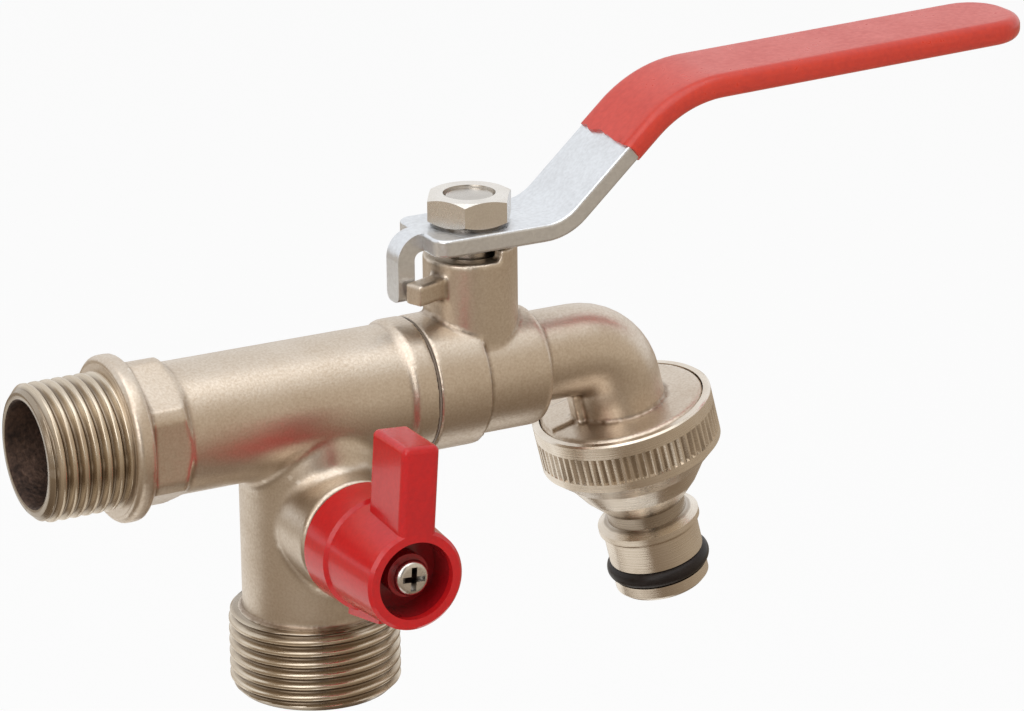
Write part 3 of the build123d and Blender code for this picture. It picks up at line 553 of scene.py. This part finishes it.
def solid_mesh(node):
    """World copy of a node's mesh, with the doubled vertices joined."""
    mesh = frame["nodes"][node].data.copy()
    build = bmesh.new()
    build.from_mesh(mesh)
    bmesh.ops.remove_doubles(build, verts=build.verts, dist=WELD)
    build.to_mesh(mesh)
    build.free()
    return mesh


def eased_mesh(node):
    """A node's mesh remade on a fine grid with its edges eased, as forging and blasting leave them."""
    sizes = bpy.context.scene.tap_sizes
    carrier = bpy.data.objects.new("carrier", solid_mesh(node))
    bpy.context.scene.collection.objects.link(carrier)
    skin = carrier.modifiers.new("skin", "REMESH")
    skin.mode = "VOXEL"
    skin.voxel_size = sizes.skin_voxel
    ease = carrier.modifiers.new("ease", "SMOOTH")
    ease.factor = 0.5
    ease.iterations = sizes.skin_passes
    bpy.context.view_layer.update()
    graph = bpy.context.evaluated_depsgraph_get()
    mesh = bpy.data.meshes.new_from_object(carrier.evaluated_get(graph))
    bpy.data.objects.remove(carrier)
    return mesh


def cut_plane(build, point, normal, clear=False):
    """Cuts a mesh along a plane and, where asked, takes off what lies behind it."""
    bmesh.ops.bisect_plane(
        build,
        geom=build.verts[:] + build.edges[:] + build.faces[:],
        dist=PLANE_SLACK,
        plane_co=point,
        plane_no=normal,
        clear_inner=clear,
    )


def forged_piece(name, node, cuts=()):
    """Eased copy of a forging, cut off where it is turned."""
    mesh = eased_mesh(node)
    mesh.name = name
    build = bmesh.new()
    build.from_mesh(mesh)
    for point, normal in cuts:
        cut_plane(build, point, normal, clear=True)
    for face in build.faces:
        face.smooth = True
    build.to_mesh(mesh)
    build.free()
    piece = add_piece(name, mesh, ("blasted_nickel",), "tap_body")
    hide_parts(node)


def finish_nodes(material, *nodes):
    """Puts one material on solids that are shown as they are."""
    for node in nodes:
        solid = frame["nodes"][node]
        solid.data.materials.clear()
        solid.data.materials.append(bpy.data.materials[material])


class TAP_OT_finishes(bpy.types.Operator):
    """Make the metal, plastic and rubber finishes"""

    bl_idname = "tap.finishes"
    bl_label = "Finishes"

    def execute(self, context):
        tint = context.scene.tap_colours
        grain_group()
        turned_group()
        rub_and_shade_group()
        root_shade_group()
        self.forgings(tint)
        self.turned_ends(tint, context.scene.tap_sizes)
        self.small_metal(tint)
        self.red_pieces(tint)
        self.seals(tint)
        return {"FINISHED"}

    def forgings(self, tint):
        blasted = marks(grain=2600.0, patch=90.0, shade=0.70, smooth=0.30, rough=0.44)
        nickel = (tint.nickel, tint.nickel_shade)
        # Edges rubbed bright, partly a painted highlight, and painted shade in the corners.
        edge_and_hollow_tones = (tint.nickel_rubbed_lit, tint.nickel_hollow_shade, 0.8)
        surface("blasted_nickel", nickel, blasted, bump=0.22, depth=0.00012, metallic=1.0, rub_and_shade=edge_and_hollow_tones)
        # The bore is dull raw brass darkened with painted shade.
        raw = marks(grain=1400.0, patch=200.0, shade=1.0, smooth=0.45, rough=0.7)
        surface("shaded_raw_bore", (tint.raw, tint.raw_shade), raw, bump=0.4, depth=0.0003, metallic=0.6)

    def turned_ends(self, tint, sizes):
        threads = (
            ("turned_inlet", FLOW, Vector(), sizes.inlet_radius),
            ("turned_branch", UP, FLOW * sizes.branch_x, sizes.branch_radius),
        )
        # Crests lit brighter, partly a painted highlight, and painted shade at the roots of the threads.
        edge_and_hollow_tones = (tint.turned, tint.turned_root_shade, 0.85)
        for name, axis, centre, crest in threads:
            groove = {
                "Painted shade": (*tint.turned_root_shade, 1.0),
                "Axis": axis,
                "Centre": centre,
                "Crest": crest - ROOT_SHADE_START * sizes.thread_depth,
                "Root": crest - sizes.thread_depth,
                "Amount": 0.5,
            }
            self.turned(name, (tint.thread, tint.thread_shade), axis, edge_and_hollow_tones, groove)
        outlet_axis = Vector((math.sin(sizes.outlet_tilt), 0.0, -math.cos(sizes.outlet_tilt)))
        # Painted shade at the roots of the knurl and in the adaptor's hollows.
        edge_and_hollow_tones = (tint.turned, tint.turned_root_shade, 0.45)
        self.turned("turned_outlet", (tint.turned, tint.turned_shade), outlet_axis, edge_and_hollow_tones)
        self.turned("plated_stem", (tint.brass, tint.brass_shade), UP)

    def turned(self, name, tones, axis, rub_and_shade=None, groove=None):
        """Plated metal with the rings of a cutting tool about an axis."""
        cut = marks(grain=5200.0, patch=160.0, shade=0.6, smooth=0.20, rough=0.34)
        surface(
            name,
            tones,
            {**cut, "Axis": axis},
            bump=0.12,
            depth=0.0001,
            metallic=1.0,
            group="turned_rings",
            rub_and_shade=rub_and_shade,
            groove=groove,
        )

    def small_metal(self, tint):
        plated = marks(grain=1500.0, patch=140.0, shade=0.6, smooth=0.28, rough=0.42)
        surface("zinc_plate", (tint.zinc, tint.zinc_shade), plated, bump=0.22, depth=0.0002, metallic=1.0)
        small = marks(grain=3000.0, patch=300.0, shade=0.5, smooth=0.16, rough=0.3)
        steel = (tint.steel, tint.steel_shade)
        # Painted black shade in the screw's cross and other hollows.
        edge_and_hollow_tones = (tint.steel, tint.rubber, 1.0)
        surface("small_steel", steel, small, bump=0.15, depth=0.0001, metallic=1.0, rub_and_shade=edge_and_hollow_tones)
        # Dark steel darkened further with painted shade under the nut.
        shaded_washer = (tint.shaded_washer, tint.spring_shade)
        surface("shaded_spring_steel", shaded_washer, small, bump=0.15, depth=0.0001, metallic=1.0)
        satin = marks(grain=3400.0, patch=220.0, shade=0.55, smooth=0.24, rough=0.36)
        surface("satin_nut", (tint.nut, tint.nut_shade), satin, bump=0.15, depth=0.0001, metallic=1.0)
        polished = marks(grain=2500.0, patch=150.0, shade=0.3, smooth=0.06, rough=0.14)
        surface("mirror_ball", steel, polished, bump=0.04, depth=0.0001, metallic=1.0)

    def red_pieces(self, tint):
        dipped = marks(grain=1100.0, patch=110.0, shade=0.45, smooth=0.26, rough=0.40)
        surface("dipped_red", (tint.grip, tint.grip_shade), dipped, bump=0.10, depth=0.0002, coat=0.15)
        moulded = marks(grain=1600.0, patch=130.0, shade=0.45, smooth=0.14, rough=0.26)
        knob = (tint.knob, tint.knob_shade)
        surface("moulded_red", knob, moulded, bump=0.08, depth=0.0002, coat=0.10, specular=0.4)
        # Painted shade lining the knob's recess: a shaded copy of the knob's red.
        surface("shaded_red", (tint.knob_shade, tint.knob_deep_shade), moulded, bump=0.08, depth=0.0002)

    def seals(self, tint):
        dull = marks(grain=1800.0, patch=200.0, shade=0.6, smooth=0.30, rough=0.5)
        surface("seal_rubber", (tint.rubber, tint.rubber_shade), dull, bump=0.1, depth=0.0001, specular=0.3)
        surface("seam_fibre", (tint.fibre, tint.fibre_shade), dull, bump=0.3, depth=0.0002)
        soft = marks(grain=1500.0, patch=200.0, shade=0.6, smooth=0.30, rough=0.45)
        surface("soft_seat", (tint.seat, tint.seat_shade), soft, bump=0.08, depth=0.0001)


class TAP_OT_tee_forging(bpy.types.Operator):
    """Ease the inlet and branch forging, and give it its turned ends with their threads"""

    bl_idname = "tap.tee_forging"
    bl_label = "Inlet and branch forging"

    def execute(self, context):
        sizes = context.scene.tap_sizes
        ledge = sizes.branch_ledge + sizes.ledge_seam
        forged_piece("tee_forging", "tee_body", [(FLOW * sizes.flange_cut, FLOW), (UP * ledge, UP)])
        self.inlet_end(sizes)
        self.flange_facing(sizes)
        self.branch_end(sizes)
        return {"FINISHED"}

    def inlet_end(self, sizes):
        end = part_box("tee_body")[0].x
        rows = mouth_rows(sizes.overlap, end, sizes.inlet_bore, sizes.inlet_edge)
        rows += thread_rows(end, sizes.overlap, sizes.inlet_radius, sizes.inlet_lead, 0.0, INLET_SEGMENTS)
        self.turned_end("inlet_thread", rows, INLET_SEGMENTS, ALONG_FLOW, "turned_inlet")

    def flange_facing(self, sizes):
        """Thin turned face on the flange, from under the thread's root outwards."""
        inner = sizes.inlet_radius - 2.0 * sizes.thread_depth
        outer = sizes.facing_radius
        rows = [(-sizes.facing, inner), (-sizes.facing, outer), (sizes.facing, outer)]
        nickel = ("blasted_nickel",)
        piece = ring_piece(
            "flange_facing", rows, INLET_SEGMENTS, ALONG_FLOW, nickel, "tap_body"
        )
        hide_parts("tee_body")

    def branch_end(self, sizes):
        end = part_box("tee_body")[0].z
        top = sizes.branch_ledge
        rows = mouth_rows(top + sizes.overlap, end, sizes.branch_bore, sizes.branch_edge)
        radius = sizes.branch_radius
        rows += thread_rows(end, top, radius, sizes.branch_lead, sizes.ledge_bevel, BRANCH_SEGMENTS)
        rows += [(top, sizes.branch_tube)]
        place = Matrix.Translation(FLOW * sizes.branch_x)
        self.turned_end("branch_thread", rows, BRANCH_SEGMENTS, place, "turned_branch")

    def turned_end(self, name, rows, segments, place, material):
        """A turned end of the forging, whose rows start with its raw bore."""
        finishes = (material, "shaded_raw_bore")
        piece = ring_piece(name, rows, segments, place, finishes, "tap_body")
        # The bands of the bore take the raw bore colour, darkened with painted shade.
        for face in piece.data.polygons[:segments * MOUTH_BANDS]:
            face.material_index = 1
        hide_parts("tee_body")


class TAP_OT_bib_forging(bpy.types.Operator):
    """Ease the valve and spout forging, and finish the ring in its seam"""

    bl_idname = "tap.bib_forging"
    bl_label = "Valve and spout forging"

    def execute(self, context):
        forged_piece("bib_forging", "bib_body")
        finish_nodes("seam_fibre", "joint_ring")
        return {"FINISHED"}


class TAP_OT_lever(bpy.types.Operator):
    """Finish the lever, its washer and nut, and dip its grip"""

    bl_idname = "tap.lever"
    bl_label = "Lever"

    def execute(self, context):
        finish_nodes("zinc_plate", "lever")
        # The washer is darkened with painted shade under the nut.
        finish_nodes("shaded_spring_steel", "lever_washer")
        finish_nodes("satin_nut", "lever_nut")
        self.dipped_grip(context.scene.tap_sizes)
        return {"FINISHED"}

    def dipped_grip(self, sizes):
        """Copy of the grip whose lower edge wanders, as the edge of a dip does."""
        low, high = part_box("lever_grip")
        rise = Vector((math.cos(sizes.dip_slope), 0.0, math.sin(sizes.dip_slope)))
        reach = sizes.dip_reach
        mesh = solid_mesh("lever_grip")
        build = bmesh.new()
        build.from_mesh(mesh)
        for step in range(1, GRIP_CUTS_ALONG + 1):
            cut_plane(build, FLOW * (low.x + reach * step / GRIP_CUTS_ALONG), FLOW)
        for step in range(1, GRIP_CUTS_ACROSS):
            cut_plane(build, ACROSS * (low.y + (high.y - low.y) * step / GRIP_CUTS_ACROSS), ACROSS)
        start = min(vertex.co.dot(rise) for vertex in build.verts)
        for vertex in build.verts:
            near = 1.0 - min((vertex.co.dot(rise) - start) / reach, 1.0)
            wave = noise.noise(Vector((vertex.co.y * WAVES_ACROSS, vertex.co.z * WAVES_UP, WAVE_SEED)))
            vertex.co -= rise * (sizes.dip_wander * wave * near)
        for face in build.faces:
            face.smooth = True
        build.to_mesh(mesh)
        build.free()
        mesh.set_sharp_from_angle(angle=GRIP_CREASE)
        piece = add_piece("dipped_grip", mesh, ("dipped_red",), "lever_assembly")
        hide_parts("lever_grip")


class TAP_OT_knob(bpy.types.Operator):
    """Finish the red knob and its screw, and line its recess with painted shade"""

    bl_idname = "tap.knob"
    bl_label = "Knob"

    def execute(self, context):
        finish_nodes("moulded_red", "branch_knob")
        finish_nodes("small_steel", "branch_knob_screw")
        self.recess_painted_shade(context.scene.tap_sizes)
        return {"FINISHED"}

    def recess_painted_shade(self, sizes):
        """Lining of painted shade in the recess: round the screw, down its post, over the floor and up the
        wall.
        """
        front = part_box("branch_knob")[0].y
        floor = sizes.knob_recess - sizes.knob_floor
        top = sizes.knob_post_depth - sizes.knob_floor
        post = sizes.knob_post + sizes.knob_floor
        hole = sizes.knob_hole - sizes.knob_floor
        rows = [(top, sizes.screw_head), (top, post), (floor, post), (floor, hole), (sizes.knob_lip, hole)]
        inwards = Matrix.Rotation(-math.pi / 2.0, 4, "X")
        place = Matrix.Translation((sizes.branch_x, front, sizes.knob_height)) @ inwards
        ring_piece("knob_recess", rows, KNOB_SEGMENTS, place, ("shaded_red",), "knob_assembly")


class TAP_OT_hose_adaptor(bpy.types.Operator):
    """Finish the hose adaptor and its seals"""

    bl_idname = "tap.hose_adaptor"
    bl_label = "Hose adaptor"

    def execute(self, context):
        finish_nodes("turned_outlet", "hose_adaptor")
        finish_nodes("seal_rubber", "hose_adaptor_o_ring", "hose_adaptor_washer")
        return {"FINISHED"}


class TAP_OT_valves(bpy.types.Operator):
    """Finish the balls, stems, seats and seals inside the tap"""

    bl_idname = "tap.valves"
    bl_label = "Valves"

    def execute(self, context):
        finish_nodes("mirror_ball", "main_ball", "branch_ball")
        finish_nodes("plated_stem", "main_stem", "branch_stem")
        finish_nodes("turned_branch", "branch_seat_retainer")
        finish_nodes("soft_seat", "main_seat_inlet", "main_seat_outlet")
        finish_nodes("soft_seat", "branch_seat_upper", "branch_seat_lower")
        finish_nodes("soft_seat", "main_stem_thrust_washer", "branch_stem_thrust_washer")
        finish_nodes("seal_rubber", "main_stem_o_ring_lower", "main_stem_o_ring_upper", "branch_stem_o_ring")
        return {"FINISHED"}


class TAP_OT_stage(bpy.types.Operator):
    """Set the floor, the lamps and the camera"""

    bl_idname = "tap.stage"
    bl_label = "Stage"

    def execute(self, context):
        stage = context.scene.tap_stage
        context.scene.view_settings.view_transform = "Standard"
        self.sky(context.scene, stage)
        self.floor(stage)
        self.table(stage)
        for name, azimuths, elevations, tone in STUDIO_PANELS:
            self.panel(stage, name, azimuths, elevations, tone)
        self.cards(stage)
        self.lamp("top_lamp", stage.top_place, stage.top_aim, stage.top_size, stage.top_power)
        self.lamp("left_lamp", stage.left_place, stage.left_aim, stage.left_size, stage.left_power)
        self.camera(context.scene, stage)
        return {"FINISHED"}

    def seen(self, tree):
        """1 for rays that show the backdrop itself, in view or in a mirror."""
        path = put(tree, "ShaderNodeLightPath").outputs
        mirrored = combined(tree, "MAXIMUM", path["Is Glossy Ray"], path["Is Transmission Ray"])
        return combined(tree, "MAXIMUM", path["Is Camera Ray"], mirrored)

    def sky(self, scene, stage):
        world = bpy.data.worlds.new("studio")
        world.use_nodes = True
        scene.world = world
        tree = world.node_tree
        strength = ranged(tree, self.seen(tree), 0.0, 1.0, stage.ambient, 1.0)
        tree.links.new(strength, tree.nodes["Background"].inputs["Strength"])
        tree.nodes["Background"].inputs["Color"].default_value = WHITE

    def floor(self, stage):
        """Pale floor that mostly glows where it is seen, and is plain paint to other light."""
        material, tree = blank_material("studio_floor")
        paint = put(tree, "ShaderNodeBsdfDiffuse", {"Color": (*stage.floor_paint, 1.0)})
        glow = put(tree, "ShaderNodeEmission", {"Color": WHITE, "Strength": 1.0})
        share = combined(tree, "MULTIPLY", self.seen(tree), stage.floor_glow)
        both = put(tree, "ShaderNodeMixShader", {0: share, 1: paint.outputs[0], 2: glow.outputs[0]})
        show(tree, both)
        self.plate("floor", (0.0, 0.0, stage.floor_drop), (stage.floor_size, stage.floor_size), material)

    def table(self, stage):
        """Brown table that only shiny faces see, with a painted shadow of the tap: darkest under it."""
        material, tree = blank_material("table")
        place = put(tree, "ShaderNodeTexCoord").outputs["Object"]
        far = vector(tree, "LENGTH", place)["Value"]
        share = ranged(tree, far, stage.shade_near, stage.shade_far)
        tone = mixed(tree, share, (*stage.table_painted_shadow, 1.0), (*stage.table_far, 1.0))
        show(tree, put(tree, "ShaderNodeEmission", {"Color": tone, "Strength": 1.0}))
        centre = (stage.aim_x, 0.0, stage.table_drop)
        self.only_mirrored(self.plate("table", centre, (stage.table_size, stage.table_size), material))

    def cards(self, stage):
        """Cards on the table, mirrored by the left sides of the branch, the adaptor and the nipple."""
        white = self.glowing("bounce", stage.white_card)
        dull = self.glowing("dull_bounce", stage.dull_card)
        self.only_mirrored(self.plate("back_bounce", stage.bounce_place, stage.bounce_size, white))
        self.only_mirrored(self.plate("under_bounce", stage.under_place, stage.under_size, dull))
        self.only_mirrored(self.plate("cone_bounce", stage.cone_place, stage.cone_size, white))

    def glowing(self, name, tone):
        """Plain material that shines in one colour."""
        material, tree = blank_material(name)
        show(tree, put(tree, "ShaderNodeEmission", {"Color": (*tone, 1.0), "Strength": 1.0}))
        return material

    def panel(self, stage, name, azimuths, elevations, tone):
        """Curved panel round the tap that fills the given angles."""
        reach = stage.panel_reach
        points = []
        for step in range(PANEL_STEPS + 1):
            turn = math.radians(azimuths[0] + (azimuths[1] - azimuths[0]) * step / PANEL_STEPS)
            for lift in elevations:
                rise = math.tan(math.radians(lift)) * reach
                points.append((math.sin(turn) * reach + stage.panel_x, -math.cos(turn) * reach, rise))
        faces = [(2 * i, 2 * i + 2, 2 * i + 3, 2 * i + 1) for i in range(PANEL_STEPS)]
        self.only_mirrored(self.sheet(name, points, faces, self.glowing(name, tone)))

    def only_mirrored(self, plate):
        plate.visible_camera = False
        plate.visible_diffuse = False
        plate.visible_shadow = False
        plate.visible_transmission = False

    def plate(self, name, centre, size, material):
        x, y = size[0] / 2.0, size[1] / 2.0
        corners = [(-x, -y, 0.0), (x, -y, 0.0), (x, y, 0.0), (-x, y, 0.0)]
        plate = self.sheet(name, corners, [(0, 1, 2, 3)], material)
        plate.location = centre
        return plate

    def sheet(self, name, points, faces, material):
        mesh = bpy.data.meshes.new(name)
        mesh.from_pydata(points, [], faces)
        mesh.materials.append(material)
        sheet = bpy.data.objects.new(name, mesh)
        bpy.context.scene.collection.objects.link(sheet)
        return sheet

    def lamp(self, name, place, aim, size, watts):
        light = bpy.data.lights.new(name, "AREA")
        light.shape = "SQUARE"
        light.size = size
        light.energy = watts
        lamp = bpy.data.objects.new(name, light)
        lamp.location = place
        lamp.rotation_euler = (Vector(aim) - Vector(place)).to_track_quat("-Z", "Y").to_euler()
        bpy.context.scene.collection.objects.link(lamp)

    def camera(self, scene, stage):
        turn, lift = stage.azimuth, stage.elevation
        back = Vector((math.sin(turn) * math.cos(lift), -math.cos(turn) * math.cos(lift), math.sin(lift)))
        flat = Vector((math.cos(turn), math.sin(turn), 0.0))
        rise = back.cross(flat)
        right = math.cos(stage.roll) * flat + math.sin(stage.roll) * rise
        up = math.cos(stage.roll) * rise - math.sin(stage.roll) * flat
        eye = FLOW * stage.aim_x + back * stage.distance
        eye += right * stage.slide_right + up * stage.slide_up
        view = bpy.data.cameras.new("camera")
        view.sensor_fit = "HORIZONTAL"
        view.sensor_width = SENSOR_WIDTH
        view.lens = stage.lens
        view.dof.use_dof = False
        camera = bpy.data.objects.new("camera", view)
        camera.matrix_world = Matrix.Translation(eye) @ Matrix((right, up, back)).transposed().to_4x4()
        scene.collection.objects.link(camera)
        scene.camera = camera


OPERATORS = (
    TAP_OT_finishes,
    TAP_OT_tee_forging,
    TAP_OT_bib_forging,
    TAP_OT_lever,
    TAP_OT_knob,
    TAP_OT_hose_adaptor,
    TAP_OT_valves,
    TAP_OT_stage,
)


class TAP_PT_panel(bpy.types.Panel):
    """Lists the steps that dress the tap"""

    bl_idname = "TAP_PT_panel"
    bl_label = "Garden tap"
    bl_space_type = "VIEW_3D"
    bl_region_type = "UI"
    bl_category = "Tap"

    def draw(self, context):
        for operator in OPERATORS:
            self.layout.operator(operator.bl_idname)


CLASSES = (TapSizes, TapColours, TapStage) + OPERATORS + (TAP_PT_panel,)


def register():
    for cls in CLASSES:
        bpy.utils.register_class(cls)
    bpy.types.Scene.tap_sizes = PointerProperty(type=TapSizes)
    bpy.types.Scene.tap_colours = PointerProperty(type=TapColours)
    bpy.types.Scene.tap_stage = PointerProperty(type=TapStage)


def unregister():
    del bpy.types.Scene.tap_stage
    del bpy.types.Scene.tap_colours
    del bpy.types.Scene.tap_sizes
    for cls in reversed(CLASSES):
        bpy.utils.unregister_class(cls)


def main():
    register()
    bpy.ops.tap.finishes()
    bpy.ops.tap.tee_forging()
    bpy.ops.tap.bib_forging()
    bpy.ops.tap.lever()
    bpy.ops.tap.knob()
    bpy.ops.tap.hose_adaptor()
    bpy.ops.tap.valves()
    bpy.ops.tap.stage()


if __name__ == "__main__":
    main()
